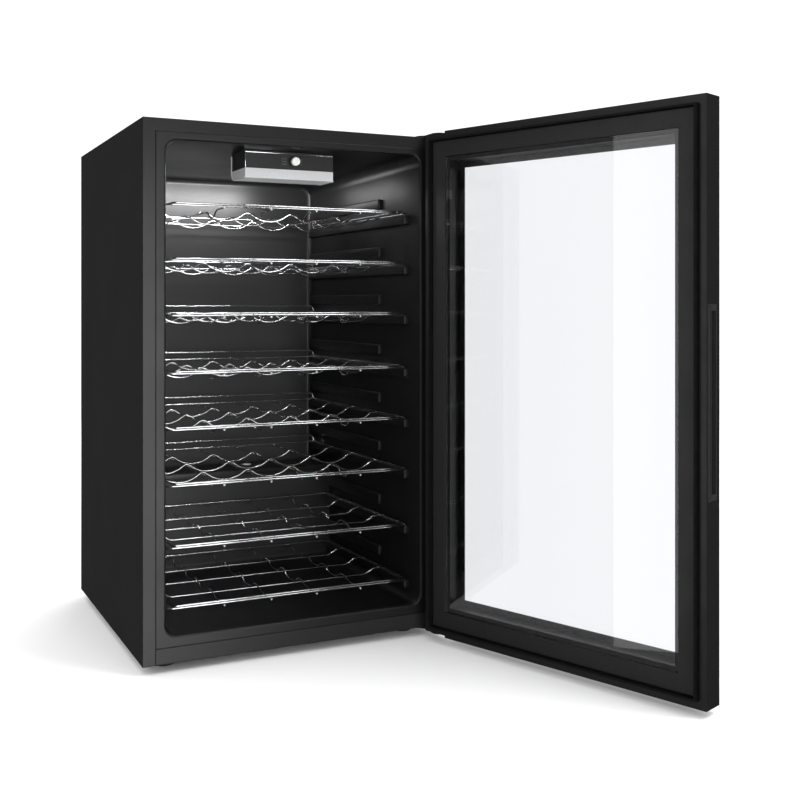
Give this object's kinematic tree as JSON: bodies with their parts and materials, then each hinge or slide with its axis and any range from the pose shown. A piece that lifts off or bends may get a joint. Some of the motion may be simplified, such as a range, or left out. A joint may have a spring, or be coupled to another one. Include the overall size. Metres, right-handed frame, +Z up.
{
  "type": "wine cooler",
  "caption": "Free-standing compressor wine cooler with a hinged glass door, wire bottle shelves that slide out, and an interior lamp and thermostat box.",
  "frame": {"origin": "on the floor, under the middle of the cabinet", "axes": "+X to the right seen from the front, +Y to the back, +Z up; the door stands open towards -Y"},
  "size_m": [0.6663, 1.0006, 0.83],
  "materials": {
    "painted_black": "satin black baked enamel on steel sheet",
    "gloss_black": "glossy black moulded plastic",
    "dark_plastic": "satin dark plastic",
    "foam": "foamed insulation",
    "aluminium": "rolled aluminium",
    "white_plastic": "satin white plastic",
    "silver_lens": "silvery translucent plastic",
    "board": "circuit board with lamps",
    "zinc": "zinc-plated steel",
    "black_steel": "black enamel",
    "rubber": "black rubber",
    "copper": "bare copper tube",
    "gasket": "soft black magnetic seal",
    "glass": "clear float glass",
    "black_print": "black ceramic print on glass",
    "chrome_wire": "chrome-plated wire"
  },
  "bodies": {
    "cabinet": {"outer_shell": "painted_black", "rear_panel": "painted_black", "compressor_bay_panel": "painted_black", "base_pan": "zinc", "front_bottom_rail": "painted_black", "inner_liner": "gloss_black", "foam_insulation": "foam", "evaporator_plate": "aluminium", "drain_tube": "white_plastic", "drip_tray": "dark_plastic", "control_housing": "dark_plastic", "control_fascia": "gloss_black", "lamp_lens": "silver_lens", "lamp_board": "board", "thermostat_body": "zinc", "compressor": "black_steel", "compressor_plate": "zinc", "compressor_grommets": "rubber", "compressor_bolts": "zinc", "relay_box": "dark_plastic", "condenser_coil": "black_steel", "condenser_wires": "black_steel", "condenser_brackets": "dark_plastic", "rear_screws": "zinc", "filter_drier": "copper", "refrigerant_pipes": "copper", "cord_gland": "rubber", "rear_feet": "dark_plastic", "foot_inserts": "zinc", "hinge_bracket_top": "painted_black", "hinge_bracket_bottom": "painted_black", "hinge_pin_top": "zinc", "hinge_pin_bottom": "zinc", "hinge_screws": "zinc"},
    "door": {"door_frame": "dark_plastic", "door_inner_frame": "dark_plastic", "door_glass_outer": "glass", "door_glass_border": "black_print", "door_glass_inner": "glass", "glass_spacer": "black_print", "door_gasket": "gasket", "door_grip_insert": "dark_plastic", "door_bushes": "white_plastic"},
    "knob": {"knob_body": "dark_plastic", "knob_cap": "white_plastic"},
    "foot_left": {"front_foot_left": "dark_plastic"},
    "foot_right": {"front_foot_right": "dark_plastic"},
    "shelf_1_body": {"shelf_1": "chrome_wire"},
    "shelf_2_body": {"shelf_2": "chrome_wire"},
    "shelf_3_body": {"shelf_3": "chrome_wire"},
    "shelf_4_body": {"shelf_4": "chrome_wire"},
    "shelf_5_body": {"shelf_5": "chrome_wire"},
    "shelf_6_body": {"shelf_6": "chrome_wire"},
    "shelf_7_body": {"shelf_7": "chrome_wire"},
    "shelf_8_body": {"shelf_8": "chrome_wire"}
  },
  "joints": [
    {"name": "door_hinge", "type": "hinge", "parent": "cabinet", "child": "door", "pos_m": [0.2345, -0.271, 0.42], "axis": [0, 0, 1], "range_deg": [-110.15, 15]},
    {"name": "thermostat_knob", "type": "hinge", "parent": "cabinet", "child": "knob", "pos_m": [0.007, -0.2, 0.7782], "axis": [0, 1, 0], "range_deg": [-135, 135]},
    {"name": "left_foot_screw", "type": "slide", "parent": "cabinet", "child": "foot_left", "axis": [0, 0, -1], "range_m": [0, 0.01]},
    {"name": "right_foot_screw", "type": "slide", "parent": "cabinet", "child": "foot_right", "axis": [0, 0, -1], "range_m": [0, 0.01]},
    {"name": "shelf_1_slide", "type": "slide", "parent": "cabinet", "child": "shelf_1_body", "axis": [0, -1, 0], "range_m": [0, 0.2]},
    {"name": "shelf_2_slide", "type": "slide", "parent": "cabinet", "child": "shelf_2_body", "axis": [0, -1, 0], "range_m": [0, 0.2]},
    {"name": "shelf_3_slide", "type": "slide", "parent": "cabinet", "child": "shelf_3_body", "axis": [0, -1, 0], "range_m": [0, 0.2]},
    {"name": "shelf_4_slide", "type": "slide", "parent": "cabinet", "child": "shelf_4_body", "axis": [0, -1, 0], "range_m": [0, 0.2]},
    {"name": "shelf_5_slide", "type": "slide", "parent": "cabinet", "child": "shelf_5_body", "axis": [0, -1, 0], "range_m": [0, 0.2]},
    {"name": "shelf_6_slide", "type": "slide", "parent": "cabinet", "child": "shelf_6_body", "axis": [0, -1, 0], "range_m": [0, 0.2]},
    {"name": "shelf_7_slide", "type": "slide", "parent": "cabinet", "child": "shelf_7_body", "axis": [0, -1, 0], "range_m": [0, 0.2]},
    {"name": "shelf_8_slide", "type": "slide", "parent": "cabinet", "child": "shelf_8_body", "axis": [0, -1, 0], "range_m": [0, 0.2]}
  ]
}
